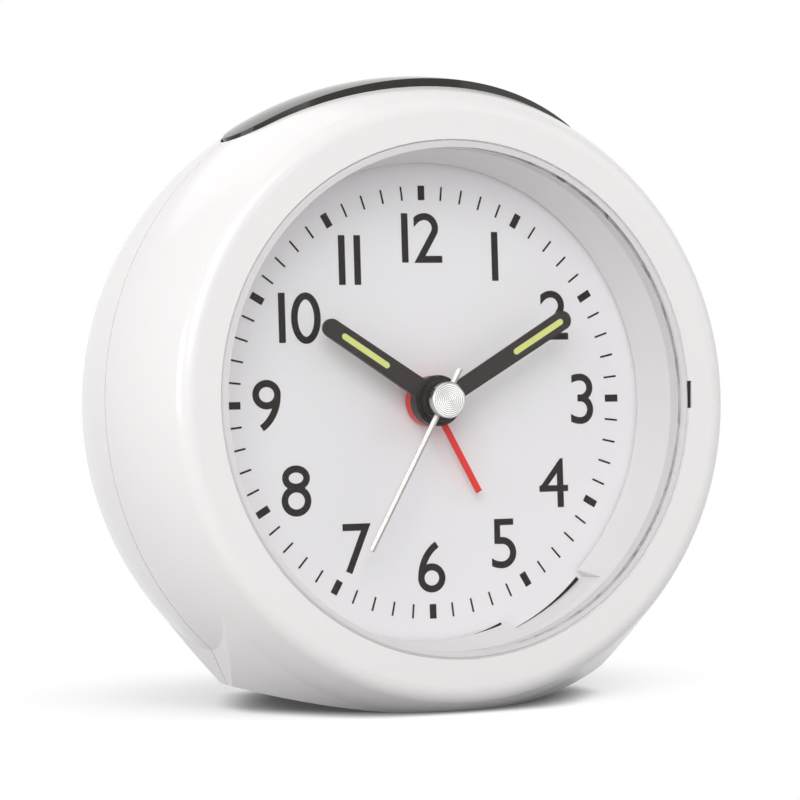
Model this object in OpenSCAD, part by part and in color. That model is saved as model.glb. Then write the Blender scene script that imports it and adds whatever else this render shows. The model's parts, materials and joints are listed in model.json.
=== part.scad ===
// Round mantel alarm clock with a quartz movement, in millimetres.
// +Z is up, the dial faces -Y and leans back, and the clock stands on z = 0.
// Inside the leaning frame y is measured from the dial's face, positive to the back.

/* [Dial and lens] */
// Diameter of the dial that shows inside the inner ring
dial_d = 69.6; // [66:0.1:74]
// Thickness of the dial sheet
dial_t = 0.8; // [0.5:0.1:1.2]
// Distance from the dial to the bezel's face
face_depth = 12; // [11.5:0.1:14]
// How far the inner ring widens towards the lens
ring_taper = 1.7; // [0.8:0.1:2.4]
// Depth of the recess in the inner ring, below the five
ring_recess = 1.4; // [0.8:0.1:1.6]
// Thickness of the lens window
lens_t = 1.5; // [1.2:0.1:2]
// Wall of the lens rim
lens_rim = 0.95; // [0.8:0.05:1.4]
// How far the lens flange reaches behind the bezel
lens_flange = 1.35; // [1:0.05:2]
// Thickness of the lens flange
lens_flange_t = 1.3; // [1:0.1:1.8]

/* [Case] */
// Wall of both case halves
case_wall = 2.2; // [1.8:0.1:2.6]
// Thickness of the bezel lip over the lens flange
bezel_t = 2.4; // [2:0.1:2.8]
// Wall of the tube that holds the lens, ring and dial
tube_wall = 1.5; // [1.2:0.1:2]
// Distance from the dial back to the seam between the halves
seam_depth = 6; // [5:0.1:7]
// Distance from the dial to the back of the case
back_depth = 27; // [26.5:0.1:29]
// Radius of the barrel curve ahead of the seam
front_arc = 35.2; // [33:0.1:40]
// Radius of the barrel curve behind the seam
rear_arc = 54.6; // [50:0.1:65]
// Rounding between the bezel's face and the barrel
face_round = 2.6; // [1.5:0.1:3.5]
// Rounding between the barrel and the back
back_round = 4; // [2.5:0.1:5]
// Height of the dial centre over the table
axis_h = 44; // [43:0.1:45.5]
// Lean of the dial from upright, in degrees
lean = 3.9; // [2:0.1:5]
// Length of the rear cover's lip inside the front case
lip_len = 2.6; // [2:0.1:2.9]
// Thickness of that lip
lip_t = 1.3; // [1:0.1:1.5]

/* [Foot] */
// Width of the foot across its side walls, at their lower edges
foot_w = 60; // [54:0.5:66]
// Radius of the crowned underside, side to side
crown_r = 112; // [100:1:140]
// Width of the flat strip the clock stands on
flat_w = 19; // [14:0.5:24]
// How far the foot stands out of the barrel at the seam
foot_out = 3.3; // [2.6:0.1:4]
// Side lean of the foot walls, outward per millimetre of height
foot_slope = 0.45; // [0.3:0.01:0.6]

/* [Snooze button] */
// Length of the button across the crown
button_l = 56.2; // [52:0.2:60]
// Width of the button, front to back
button_w = 22; // [20:0.2:26]
// Radius of the button's ends in plan
button_end_r = 6.8; // [6:0.1:8.5]
// How far the button's crown stands over the case at the seam
button_proud = 0.3; // [0.2:0.05:0.8]
// Radius of the button's crown, front to back
button_arc = 57; // [50:1:70]
// Distance from the dial to the middle of the button
button_y = 5.3; // [4.5:0.1:6.5]
// Gap round the button in its opening
button_gap = 0.4; // [0.3:0.05:0.6]
// Travel of the button when pressed
button_travel = 1.2; // [0.8:0.1:1.6]

/* [Hands] */
// Length of the hour hand
hour_l = 21.05; // [18:0.05:24]
// Width of the hour hand at its root
hour_w = 3; // [2.4:0.1:3.4]
// Length of the minute hand
minute_l = 24.2; // [22:0.1:28]
// Width of the minute hand at its root
minute_w = 2.5; // [2:0.1:3]
// Length of the second hand
second_l = 24.6; // [22:0.1:28]
// Length of the second hand's tail
second_tail = 5.2; // [4:0.1:8]
// Width of the second hand
second_w = 0.85; // [0.6:0.05:1.2]
// Length of the alarm hand
alarm_l = 15.2; // [13:0.1:18]
// Width of the alarm hand
alarm_w = 0.85; // [0.7:0.05:1.4]
// Width of the glowing inlays
lume_w = 0.9; // [0.7:0.05:1.3]
// Diameter of the second hand's cap
cap_d = 5.3; // [4.4:0.1:5.6]
// Angle of the hour hand, clockwise from twelve
hour_at = 302.8; // [0:0.1:359]
// Angle of the minute hand
minute_at = 60.1; // [0:0.1:359]
// Angle of the second hand
second_at = 210; // [0:0.1:359]
// Angle of the alarm hand
alarm_at = 151.7; // [0:0.1:359]

/* [Movement] */
// Diameter of the battery
battery_d = 14.3; // [13.9:0.1:14.5]
// Length of the battery over its cap
battery_l = 50.5; // [49.5:0.1:51]
// Wall of the movement box
box_wall = 1.2; // [1:0.1:1.6]
// Thickness of the movement's front plate
plate_t = 1.2; // [1:0.1:1.8]
// Thickness of the gear wheels
wheel_t = 0.8; // [0.6:0.1:1]
// Space between the layers of wheels
layer_gap = 0.45; // [0.35:0.05:0.7]
// Tooth module of the going train
going_m = 0.3; // [0.28:0.01:0.32]
// Distance from the hands to the two setting arbors
setting_r = 12; // [11.7:0.1:12.6]
// Height of the gear chamber over the hands' axis
chamber_up = 25.8; // [25:0.1:28]
// Diameter of the setting arbors
arbor_d = 2; // [1.6:0.1:2.4]
// Diameter of the time knob
time_knob_d = 12; // [10:0.1:13]
// Diameter of the alarm knob
alarm_knob_d = 10; // [8:0.1:12]
// Height of the knobs
knob_h = 5.2; // [4:0.1:6]
// Travel of the alarm switch
switch_travel = 5; // [4:0.1:6]

/* [Hidden] */

$fn = 96;

// Clearances: a seated fit, a running fit on radius, and an easy gap
seat_gap = 0.15;
run_gap = 0.06;
easy_gap = 0.4;

// Where the leaning frame's origin stands over the foot
axis_y = -8;

// Inner ring, lens and tube, from the dial outwards
ring_r = dial_d / 2;
ring_top_r = ring_r + ring_taper;
lens_in_r = ring_top_r - 0.4;
lens_r = lens_in_r + lens_rim;
bezel_r = lens_r + seat_gap;
lens_flange_r = bezel_r + lens_flange;
tube_r = lens_flange_r + seat_gap;
tube_out_r = tube_r + tube_wall;
lip_y = bezel_t - face_depth;
ring_y = lip_y + lens_flange_t;

// Screw bosses outside the tube, then the barrel round them
boss_d = 5.4;
ear_r = 2.9;
boss_r = tube_r + 0.1 + boss_d / 2;
front_sag = front_arc - sqrt(front_arc * front_arc - seam_depth * seam_depth);
case_r = boss_r + ear_r + easy_gap + case_wall + front_sag;
boss_at = [for (a = [45, 135, 225, 315]) [boss_r * cos(a), boss_r * sin(a)]];
screw_r = 1.1;
screw_head_r = 1.9;
screw_head_t = 1.3;
screw_l = 5;
// The bosses start where the barrel has come clear of them
boss_front = seam_depth - sqrt(pow(front_arc, 2)
    - pow(boss_r + boss_d / 2 + 0.6 - case_r + front_arc, 2));

// Fillet centres of the barrel profile
face_cy = face_round - face_depth;
face_cx = case_r - front_arc
    + sqrt(pow(front_arc - face_round, 2) - pow(seam_depth - face_cy, 2));
face_ty = seam_depth - (seam_depth - face_cy) * front_arc / (front_arc - face_round);
back_cy = back_depth - back_round;
back_cx = case_r - rear_arc + sqrt(pow(rear_arc - back_round, 2) - pow(back_cy - seam_depth, 2));
back_ty = seam_depth + (back_cy - seam_depth) * rear_arc / (rear_arc - back_round);

// Underside: centre height of the crown, and where the foot's walls meet it
crown_z = sqrt(pow(crown_r, 2) - pow(flat_w / 2, 2));
foot_z = crown_z - sqrt(pow(crown_r, 2) - pow(foot_w / 2, 2));

// Rear cover's lip
lip_r = case_r - case_wall - easy_gap + 0.05;

// Movement: front plate behind the dial, battery bay below the gear chamber
plate_y = dial_t;
box_y = plate_y + plate_t;
centre_n = 64;
third_pinion_n = 8;
third_n = 60;
second_pinion_n = 8;
second_n = 60;
fifth_pinion_n = 10;
fifth_n = 40;
rotor_pinion_n = 8;
cannon_n = 12;
motion_n = 36;
motion_pinion_n = 10;
hour_n = 40;
alarm_n = 36;
alarm_pinion_n = 12;

third_r = going_m * (centre_n + third_pinion_n) / 2;
third_m = 2 * third_r / (third_n + second_pinion_n);
fifth_r = going_m * (second_n + fifth_pinion_n) / 2;
rotor_r = going_m * (fifth_n + rotor_pinion_n) / 2;
motion_m = 2 * setting_r / (cannon_n + motion_n);
hour_m = 2 * setting_r / (motion_pinion_n + hour_n);
alarm_m = 2 * setting_r / (alarm_n + alarm_pinion_n);

third_dir = 90;
fifth_dir = 200;
rotor_dir = 172;
motion_dir = 20;
alarm_dir = 160;
function polar(r, a) = [r * cos(a), r * sin(a)];
third_at = polar(third_r, third_dir);
fifth_at = polar(fifth_r, fifth_dir);
rotor_at = fifth_at + polar(rotor_r, rotor_dir);
motion_at = polar(setting_r, motion_dir);
alarm_arbor_at = polar(setting_r, alarm_dir);

// Layers of wheels, front to back
y_alarm = box_y + layer_gap;
y_hour = y_alarm + wheel_t + layer_gap;
y_cannon = y_hour + wheel_t + layer_gap;
y_centre = y_cannon + wheel_t + layer_gap;
y_third = y_centre + wheel_t + layer_gap;
mid_y = y_third + wheel_t + layer_gap;
mid_t = 0.8;
y_second = mid_y + mid_t + layer_gap;
y_fifth = y_second + wheel_t + layer_gap;
y_magnet = y_fifth + wheel_t + layer_gap;
magnet_h = 2.6;
magnet_r = 2.8;

// Tubes and arbors on the hands' axis
second_arbor_r = 0.5;
minute_tube_r = 1;
hour_tube_r = 1.6;
alarm_tube_r = 2.3;
bush_r = 3;
pivot_r = 0.4;

// Battery bay and box
contact_t = 0.35;
contact_room = 1.95;
bay_wall = 0.8;
box_w = battery_l + 2 * contact_room + 2 * bay_wall;
chamber_down = max(going_m * centre_n / 2 + going_m, hour_m * (hour_n / 2 + 1)) + 0.3;
bay_h = battery_d + 0.6;
bay_z1 = -chamber_down - 1;
bay_z0 = bay_z1 - bay_h;
box_z0 = bay_z0 - bay_wall;
box_z1 = chamber_up + box_wall;
back_t = 1.4;
door_t = 1.4;
bay_y = box_y + 0.9;
battery_y = bay_y + battery_d / 2 + 0.2;
battery_z = (bay_z0 + bay_z1) / 2;
box_back = max(y_magnet + magnet_h + 2.6, bay_y + battery_d + 0.7) + back_t;
panel_y = box_back - back_t;
door_w = box_w - 2 * bay_wall - 0.8;

// Pocket of the rear cover round the movement's back
pocket_gap = 0.4;
pocket_wall = 1.6;
ledge = 0.6;

// Hands, as heights in front of the dial
alarm_back = 0.5;
alarm_boss_t = 1.6;
blade_t = 0.5;
hand_gap = 0.2;
alarm_front = alarm_back + alarm_boss_t;
hour_back = alarm_front + hand_gap;
hour_boss_t = 1.9;
hour_front = hour_back + hour_boss_t;
minute_back = hour_front + hand_gap;
minute_boss_t = 1.4;
minute_front = minute_back + minute_boss_t;
second_back = minute_front + hand_gap;
second_front = second_back + blade_t;
cap_t = 1.3;

// Plan of the button: two end circles joined by arcs tangent to both
function side_r(l, w, e) = (pow(l / 2 - e, 2) + w * w / 4 - e * e) / (w - 2 * e);

switch_z = box_z1 + 3.2;
switch_tip = 0.8;
stem_y = button_y + 1.7;
stem_z = switch_z + switch_tip + button_travel + 0.15;

// Frames and building shapes

module leaning() {
    translate([0, axis_y, axis_h]) rotate([-lean, 0, 0]) children();
}

// A profile turned round the hands' axis, started at the bottom
module turned() {
    rotate([0, 90, 0]) rotate([-90, 0, 0]) rotate_extrude() children();
}

module rod(r, y0, y1) {
    translate([0, y0, 0]) rotate([-90, 0, 0]) cylinder(r = r, h = y1 - y0);
}

module slab(y0, y1) {
    translate([0, y1, 0]) rotate([90, 0, 0]) linear_extrude(height = y1 - y0) children();
}

module at(p) {
    translate([p[0], 0, p[1]]) children();
}

module above(z) {
    translate([-100, -100, z]) cube([200, 200, 200]);
}

// Everything over the crowned underside, raised by d
module over_base(d) {
    intersection() {
        above(d);
        translate([0, -100, crown_z]) rotate([-90, 0, 0]) cylinder(r = crown_r - d, h = 200);
    }
}

module rounded(x0, x1, z0, z1, r) {
    translate([x0 + r, z0]) square([x1 - x0 - 2 * r, z1 - z0]);
    translate([x0, z0 + r]) square([x1 - x0, z1 - z0 - 2 * r]);
    for (x = [x0 + r, x1 - r], z = [z0 + r, z1 - r]) translate([x, z]) circle(r = r);
}

// Spur gear outline with straight-sided teeth and running backlash
module gear(n, m, phase = 0) {
    pitch = 360 / n;
    root = m * (n / 2 - 0.9);
    tip = m * (n / 2 + 0.6);
    polygon([for (i = [0 : n - 1], k = [0 : 3])
        polar(k == 0 || k == 3 ? root : tip,
            phase + pitch * (i + [-0.3, -0.12, 0.12, 0.3][k]))]);
}

// Phase that puts a follower's tooth space on a driver's tooth
function mesh(dir, n0, phase0, n1) =
    dir + 180 - (360 / n1) * (0.5 - (dir - phase0) * n0 / 360);

module front_arc_region(d) {
    intersection() {
        translate([case_r - front_arc, seam_depth]) circle(r = front_arc + d, $fn = 192);
        translate([0, -face_depth - 4]) square([case_r + 20, face_depth + 4 + seam_depth]);
    }
}

module rear_arc_region(d) {
    intersection() {
        translate([case_r - rear_arc, seam_depth]) circle(r = rear_arc + d, $fn = 192);
        translate([0, seam_depth]) square([case_r + 20, back_depth - seam_depth]);
    }
}

// Both arcs together, moved in or out by d
module barrel_region(d) {
    front_arc_region(d);
    rear_arc_region(d);
}

module barrel_profile() {
    intersection() {
        front_arc_region(0);
        translate([0, face_ty]) square([case_r + 5, seam_depth - face_ty]);
    }
    translate([0, -face_depth]) square([face_cx, face_depth]);
    translate([face_cx, face_cy]) circle(r = face_round);
    intersection() {
        rear_arc_region(0);
        translate([0, seam_depth]) square([case_r + 5, back_ty - seam_depth]);
    }
    translate([0, seam_depth]) square([back_cx, back_depth - seam_depth]);
    translate([back_cx, back_cy]) circle(r = back_round);
}

module cavity_profile() {
    intersection() {
        front_arc_region(-case_wall);
        translate([0, lip_y]) square([case_r, seam_depth - lip_y]);
    }
    intersection() {
        rear_arc_region(-case_wall);
        translate([0, seam_depth]) square([case_r, back_depth - case_wall - seam_depth]);
    }
}

// Cross-section of the foot: leaning side walls down to the crown
module foot_section() {
    top = 16;
    low_x = foot_w / 2 - foot_slope * (foot_z + 1);
    top_x = foot_w / 2 + foot_slope * (top - foot_z);
    polygon([[-low_x, -1], [low_x, -1], [top_x, top], [-top_x, top]]);
}

// The foot runs out into the barrel ahead of the seam and behind it
module foot() {
    nose = face_depth / 2;
    nose_r = case_r - front_arc + sqrt(pow(front_arc, 2) - pow(seam_depth + nose, 2)) - 0.1;
    heel = back_depth - back_round - 2;
    heel_r = case_r - rear_arc + sqrt(pow(rear_arc, 2) - pow(heel - seam_depth, 2)) - 0.1;
    intersection() {
        translate([0, 60, 0]) rotate([90, 0, 0]) linear_extrude(height = 120) foot_section();
        leaning() turned()
            polygon([[0, heel], [heel_r, heel], [case_r + foot_out, seam_depth], [nose_r, -nose], [0, -nose]]);
    }
}

module case_block() {
    intersection() {
        union() {
            leaning() turned() barrel_profile();
            foot();
        }
        over_base(0);
    }
}

module case_cavity() {
    intersection() {
        leaning() turned() cavity_profile();
        over_base(case_wall);
    }
}

module button_plan(grow) {
    l = button_l + 2 * grow;
    w = button_w + 2 * grow;
    e = button_end_r + grow;
    r = side_r(l, w, e);
    tx = (l / 2 - e) * r / (r - e);
    intersection() {
        translate([0, r - w / 2]) circle(r = r, $fn = 192);
        translate([0, w / 2 - r]) circle(r = r, $fn = 192);
        square([2 * tx, w + 2], center = true);
    }
    for (s = [-1, 1]) translate([s * (l / 2 - e), 0]) circle(r = e);
}

module button_prism(grow) {
    translate([0, button_y, 0]) linear_extrude(height = case_r + 20) button_plan(grow);
}

// Opening for the button, clear of the dial tube below it
module button_opening(grow) {
    difference() {
        button_prism(grow);
        rod(tube_out_r + 0.3, -face_depth, back_depth);
    }
}

// Profile of the button's crown, flatter than the barrel ahead of the seam
module crown_region() {
    intersection() {
        translate([case_r + button_proud - button_arc, seam_depth]) circle(r = button_arc, $fn = 192);
        translate([0, seam_depth - 40]) square([case_r + 20, 80]);
    }
}

// Case

module front_case() {
    color("white") difference() {
        union() {
            difference() {
                case_block();
                case_cavity();
                leaning() translate([-100, seam_depth, -100]) cube([200, 100, 200]);
            }
            intersection() {
                leaning() {
                    difference() {
                        rod(tube_out_r, lip_y - 0.5, dial_t - 0.2);
                        rod(tube_r, lip_y - 1, dial_t);
                    }
                    for (p = boss_at) at(p) rod(boss_d / 2, boss_front, plate_y);
                }
                above(case_wall / 2);
            }
        }
        leaning() {
            rod(bezel_r, -face_depth - 1, lip_y + 0.5);
            rod(tube_r, lip_y, plate_y + 1);
            for (p = boss_at) at(p) rod(screw_r + 0.05, plate_y - screw_l - 0.5, plate_y + 1);
            button_opening(button_gap);
            translate([bezel_r - 0.5, -face_depth - 1, -2]) cube([0.95, bezel_t + 1.1, 4]);
        }
    }
}

module rear_cover() {
    half_w = box_w / 2 + pocket_gap;
    z0 = box_z0 - pocket_gap;
    z1 = box_z1 + pocket_gap;
    color("white") difference() {
        union() {
            difference() {
                case_block();
                case_cavity();
                leaning() translate([-100, seam_depth - 100, -100]) cube([200, 100, 200]);
            }
            difference() {
                intersection() {
                    leaning() turned() {
                        translate([lip_r - lip_t, seam_depth - lip_len]) square([lip_t, lip_len + 1]);
                        translate([lip_r - lip_t, seam_depth])
                            square([lip_t + easy_gap + case_wall / 2, lip_len]);
                    }
                    over_base(case_wall + seat_gap);
                }
                leaning() button_prism(2);
            }
            leaning() slab(box_back - 1.5, back_depth - case_wall / 2)
                rounded(-half_w - pocket_wall, half_w + pocket_wall, z0 - pocket_wall,
                    z1 + pocket_wall, 3);
        }
        leaning() {
            slab(box_back - 3, box_back) rounded(-half_w, half_w, z0, z1, 1.4);
            slab(box_back - 1, back_depth + 2)
                rounded(-half_w, half_w, box_z0 + ledge, box_z1 - ledge, 1.4);
            button_opening(button_gap);
            difference() {
                rod(case_r + 5, seam_depth - 1, seam_depth + 0.3);
                rod(case_r - 0.5, seam_depth - 2, seam_depth + 1);
            }
        }
    }
}

module lens() {
    color([0.9, 0.95, 1, 0.3]) leaning() turned()
        polygon([[0, -face_depth], [lens_r - 0.3, -face_depth], [lens_r, 0.3 - face_depth],
            [lens_r, lip_y], [lens_flange_r, lip_y], [lens_flange_r, ring_y],
            [lens_in_r, ring_y], [lens_in_r, lens_t - face_depth], [0, lens_t - face_depth]]);
}

module dial_ring() {
    color("gainsboro") leaning() difference() {
        turned() polygon([[ring_r + 0.5, 0], [ring_r + 0.5, -0.45], [ring_r, -0.45],
            [ring_top_r, ring_y], [tube_r - 0.9, ring_y], [tube_r - 0.9, -2.2],
            [tube_r - seat_gap, -1.8], [tube_r - seat_gap, 0]]);
        intersection() {
            rod(ring_r + ring_recess, ring_y + 2.2, 1);
            slab(ring_y + 2.2, 1)
                polygon([[0, 0], polar(2 * ring_r, -47), polar(2 * ring_r, -59), polar(2 * ring_r, -70.5)]);
        }
    }
}

module dial() {
    color("ghostwhite") leaning() difference() {
        rod(tube_r - seat_gap, 0, dial_t);
        rod(bush_r + run_gap, -1, dial_t + 1);
    }
}

// Snooze button, captive under the case skin, and the switch below its stem

module snooze_button() {
    skirt = 1.5;
    skirt_d = -case_wall - 1;
    cap_d0 = -0.9;
    end_x = button_l / 2 - 0.3;
    hook_x = button_l / 2 + button_gap + 1.1;
    hook_z = sqrt(pow(case_r - case_wall, 2) - hook_x * hook_x) - 0.5;
    hook_t = 1.5;
    hook_y = box_y + screw_head_t + 0.6;
    hook_w = button_y + 2.5 - hook_y;
    color([0.24, 0.24, 0.25]) leaning() {
        difference() {
            intersection() {
                button_prism(0);
                difference() {
                    turned() crown_region();
                    turned() barrel_region(skirt_d);
                }
            }
            intersection() {
                button_prism(-skirt);
                turned() barrel_region(cap_d0);
            }
        }
        for (s = [-1, 1]) {
            translate([s > 0 ? end_x - skirt : -end_x, hook_y, hook_z - hook_t])
                cube([skirt, hook_w, 5.4]);
            translate([s > 0 ? end_x - skirt : -hook_x, hook_y, hook_z - hook_t])
                cube([hook_x - end_x + skirt, hook_w, hook_t]);
        }
        translate([0, stem_y, stem_z]) cylinder(r = 1.6, h = case_r - 0.4 - stem_z);
        intersection() {
            translate([-12, stem_y - 0.6, case_r - 6]) cube([24, 1.2, 6]);
            turned() barrel_region(-0.4);
        }
    }
}

module snooze_switch() {
    color("dimgray") leaning() {
        translate([-3, stem_y - 3, box_z1]) cube([6, 6, switch_z - box_z1]);
        translate([0, stem_y, switch_z - 0.1]) cylinder(r = 1.5, h = switch_tip + 0.1);
    }
}

// Hands

// Blade of a hand along +y of the sketch: root and tip widths, round tip
module blade(l, w0, w1) {
    polygon([[-w0 / 2, 0], [w0 / 2, 0], [w1 / 2, l - w1 / 2], [-w1 / 2, l - w1 / 2]]);
    translate([0, l - w1 / 2]) circle(r = w1 / 2);
}

module inlay(l0, l1, w) {
    translate([-w / 2, l0 + w / 2]) square([w, l1 - l0 - w]);
    for (y = [l0 + w / 2, l1 - w / 2]) translate([0, y]) circle(r = w / 2);
}

module pointing(a) {
    rotate([0, a, 0]) children();
}

hour_inlay = [9.2, hour_l - 3.2];
minute_inlay = [13.4, minute_l - 1.4];

module hour_hand() {
    color([0.23, 0.22, 0.21]) leaning() pointing(hour_at) difference() {
        union() {
            slab(-hour_front, blade_t + 0.1 - hour_front) blade(hour_l, hour_w, 0.9 * hour_w);
            rod(3.7, -hour_front, -hour_back);
        }
        rod(hour_tube_r, -hour_front - 1, 0);
        slab(-hour_front - 1, 0) inlay(hour_inlay[0], hour_inlay[1], lume_w);
    }
}

module hour_lume() {
    color([0.86, 0.91, 0.45]) leaning() pointing(hour_at)
        slab(-hour_front, blade_t + 0.1 - hour_front)
            inlay(hour_inlay[0], hour_inlay[1], lume_w);
}

module minute_hand() {
    color([0.23, 0.22, 0.21]) leaning() pointing(minute_at) difference() {
        union() {
            slab(-minute_front, blade_t - minute_front) blade(minute_l, minute_w, 1.12 * minute_w);
            rod(3, -minute_front, -minute_back);
        }
        rod(minute_tube_r, -minute_front - 1, 0);
        slab(-minute_front - 1, 0) inlay(minute_inlay[0], minute_inlay[1], lume_w);
    }
}

module minute_lume() {
    color([0.86, 0.91, 0.45]) leaning() pointing(minute_at)
        slab(-minute_front, blade_t - minute_front)
            inlay(minute_inlay[0], minute_inlay[1], lume_w);
}

// Pressed with a ridge along its middle
module second_hand() {
    ridge = 0.2;
    color("silver") leaning() pointing(second_at) difference() {
        union() {
            translate([0, 0, -second_tail]) linear_extrude(height = second_l + second_tail)
                polygon([[-second_w / 2, -second_back], [-second_w / 2, -second_back - ridge],
                    [0, -second_front], [second_w / 2, -second_back - ridge],
                    [second_w / 2, -second_back]]);
            rod(cap_d / 2 - 0.7, -second_front, -second_back);
        }
        rod(second_arbor_r, -second_front - 1, 0);
    }
}

module second_cap() {
    color("whitesmoke") leaning() turned()
        polygon([[0, -second_front], [0, -second_front - cap_t], [cap_d / 2 - 0.2, -second_front - cap_t],
            [cap_d / 2, 0.2 - second_front - cap_t], [cap_d / 2, -second_front]]);
}

module alarm_hand() {
    color("red") leaning() pointing(alarm_at) difference() {
        union() {
            slab(-alarm_front, blade_t - alarm_front)
                translate([-alarm_w / 2, 0]) square([alarm_w, alarm_l]);
            rod(3.6, -alarm_front, -alarm_back);
        }
        rod(alarm_tube_r, -alarm_front - 1, 0);
    }
}

// Movement

module box_outline() {
    rounded(-box_w / 2, box_w / 2, box_z0, box_z1, 1.2);
}

post_at = [[-box_w / 2 + 3.6, chamber_up - 2.6], [box_w / 2 - 3.6, chamber_up - 2.6],
    [box_w / 2 - 3.6, 2 - chamber_down], [-box_w / 2 + 3.6, 2 - chamber_down]];

module movement_front() {
    color("gray") leaning() difference() {
        union() {
            slab(plate_y, box_y) {
                box_outline();
                for (p = boss_at) {
                    translate(p) circle(r = ear_r);
                    rotate(atan2(p[1], p[0])) translate([0, -ear_r])
                        square([boss_r, 2 * ear_r]);
                }
            }
            rod(bush_r, 0, box_y);
            for (p = post_at) at(p) rod(1.6, box_y - 0.2, mid_y);
        }
        rod(alarm_tube_r + run_gap, -1, box_y + 1);
        for (p = boss_at) at(p) rod(screw_r + 0.2, plate_y - 1, box_y + 1);
        at(third_at) rod(pivot_r + run_gap, box_y - 0.8, box_y + 1);
        for (p = [motion_at, alarm_arbor_at]) at(p) rod(pivot_r + run_gap, box_y - 0.8, box_y + 1);
    }
}

// Rear box: gear chamber above, battery bay open to the back below
module movement_back() {
    half_w = box_w / 2;
    color("darkgray") leaning() difference() {
        union() {
            difference() {
                slab(box_y, box_back) box_outline();
                slab(box_y - 1, panel_y)
                    rounded(box_wall - half_w, half_w - box_wall, -chamber_down, chamber_up, 0.6);
                slab(bay_y, box_back + 1)
                    rounded(bay_wall - half_w, half_w - bay_wall, bay_z0, bay_z1, 0.4);
            }
            rod(2, panel_y - 2.2, panel_y + 0.2);
            for (p = [fifth_at, rotor_at]) at(p) rod(1.4, y_magnet + magnet_h + 0.9, panel_y + 0.2);
            for (p = board_posts) at(p) rod(1.2, board_y + board_t, panel_y + 0.2);
            for (p = stator_posts) at(p) rod(0.8, stator_y + stator_t, panel_y + 0.2);
            for (s = [-1, 1]) at(switch_at) {
                translate([-5.5, panel_y - 2.9, s > 0 ? 2.7 : -3.3])
                    cube([switch_travel + 11, 3, 0.6]);
                translate([-5.5, panel_y - 2.9, s > 0 ? 1.8 : -3.3])
                    cube([switch_travel + 11, 0.9, 1.5]);
            }
            for (s = [-1, 1]) translate([s * (half_w - bay_wall - 0.6) - 0.7, box_back - door_t - 0.8, bay_z0 - 0.2])
                cube([1.4, 0.8, bay_h + 0.4]);
        }
        rod(second_arbor_r + run_gap, panel_y - 3, panel_y - 0.2);
        at(fifth_at) rod(pivot_r + run_gap, y_fifth, panel_y - 0.2);
        at(rotor_at) rod(pivot_r + run_gap, y_fifth, panel_y - 0.2);
        for (p = [motion_at, alarm_arbor_at]) at(p)
            rod(arbor_d / 2 + run_gap, panel_y - 1, box_back + 1);
        at(switch_at) translate([-2.4, panel_y - 0.5, -1.4])
            cube([switch_travel + 4.8, back_t + 1, 2.8]);
        for (p = sound_at) at(p) rod(0.8, panel_y - 1, box_back + 1);
    }
}

module train_plate() {
    color("lightgray") leaning() difference() {
        slab(mid_y, mid_y + mid_t)
            rounded(box_wall + 0.3 - box_w / 2, box_w / 2 - box_wall - 0.3, 0.3 - chamber_down,
                chamber_up - 0.3, 1);
        rod(second_arbor_r + run_gap, mid_y - 1, mid_y + 2);
        for (p = [third_at, fifth_at, rotor_at]) at(p) rod(pivot_r + run_gap, mid_y - 1, mid_y + 2);
        for (p = [motion_at, alarm_arbor_at]) at(p)
            rod(arbor_d / 2 + run_gap, mid_y - 1, mid_y + 2);
    }
}

module movement_screws() {
    color("silver") leaning() for (p = boss_at) at(p) difference() {
        union() {
            rod(screw_r, plate_y - screw_l, box_y + 0.1);
            rod(screw_head_r, box_y, box_y + screw_head_t);
        }
        for (a = [0, 90]) rotate([0, a, 0]) translate([-1.2, box_y + screw_head_t - 0.6, -0.25])
            cube([2.4, 1, 0.5]);
    }
}

// Going train: rotor, fifth, second, third and centre wheels

second_phase = 0;
fifth_pinion_phase = mesh(fifth_dir, second_n, second_phase, fifth_pinion_n);
rotor_phase = mesh(rotor_dir, fifth_n, 0, rotor_pinion_n);
third_phase = mesh(third_dir, second_pinion_n, 0, third_n);
third_pinion_phase = mesh(third_dir, centre_n, 0, third_pinion_n);

module rotor() {
    color([0.35, 0.35, 0.38]) leaning() at(rotor_at) {
        rod(pivot_r, mid_y + 0.1, y_magnet + magnet_h + 1.8);
        slab(y_fifth - 0.1, y_fifth + wheel_t + 0.1) gear(rotor_pinion_n, going_m, rotor_phase);
        rod(magnet_r, y_magnet, y_magnet + magnet_h);
    }
}

module fifth_wheel() {
    color("ivory") leaning() at(fifth_at) {
        rod(pivot_r, mid_y + 0.1, y_magnet + magnet_h + 1.8);
        slab(y_second - 0.1, y_fifth + 0.1) gear(fifth_pinion_n, going_m, fifth_pinion_phase);
        slab(y_fifth, y_fifth + wheel_t) gear(fifth_n, going_m);
    }
}

module second_wheel() {
    color("ivory") leaning() {
        rod(second_arbor_r, -second_front, panel_y - 0.4);
        slab(y_second, y_second + wheel_t) gear(second_n, going_m, second_phase);
        slab(y_third - 0.1, y_third + wheel_t + 0.1) gear(second_pinion_n, third_m);
    }
}

module third_wheel() {
    color("ivory") leaning() at(third_at) {
        rod(pivot_r, box_y - 0.6, mid_y + mid_t);
        slab(y_third, y_third + wheel_t) gear(third_n, third_m, third_phase);
        slab(y_centre - 0.1, y_third + 0.1) gear(third_pinion_n, going_m, third_pinion_phase);
    }
}

module centre_wheel() {
    color("ivory") leaning() difference() {
        union() {
            slab(y_centre, y_centre + wheel_t) gear(centre_n, going_m);
            rod(1.8, y_centre - 0.1, y_centre + wheel_t + 0.1);
        }
        rod(minute_tube_r + run_gap, y_centre - 1, y_centre + wheel_t + 1);
    }
}

// Motion work: cannon pinion, motion wheel, hour wheel

motion_phase = mesh(motion_dir, cannon_n, 0, motion_n);
hour_pinion_phase = mesh(motion_dir, hour_n, 0, motion_pinion_n);
alarm_pinion_phase = mesh(alarm_dir, alarm_n, 0, alarm_pinion_n);

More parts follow.
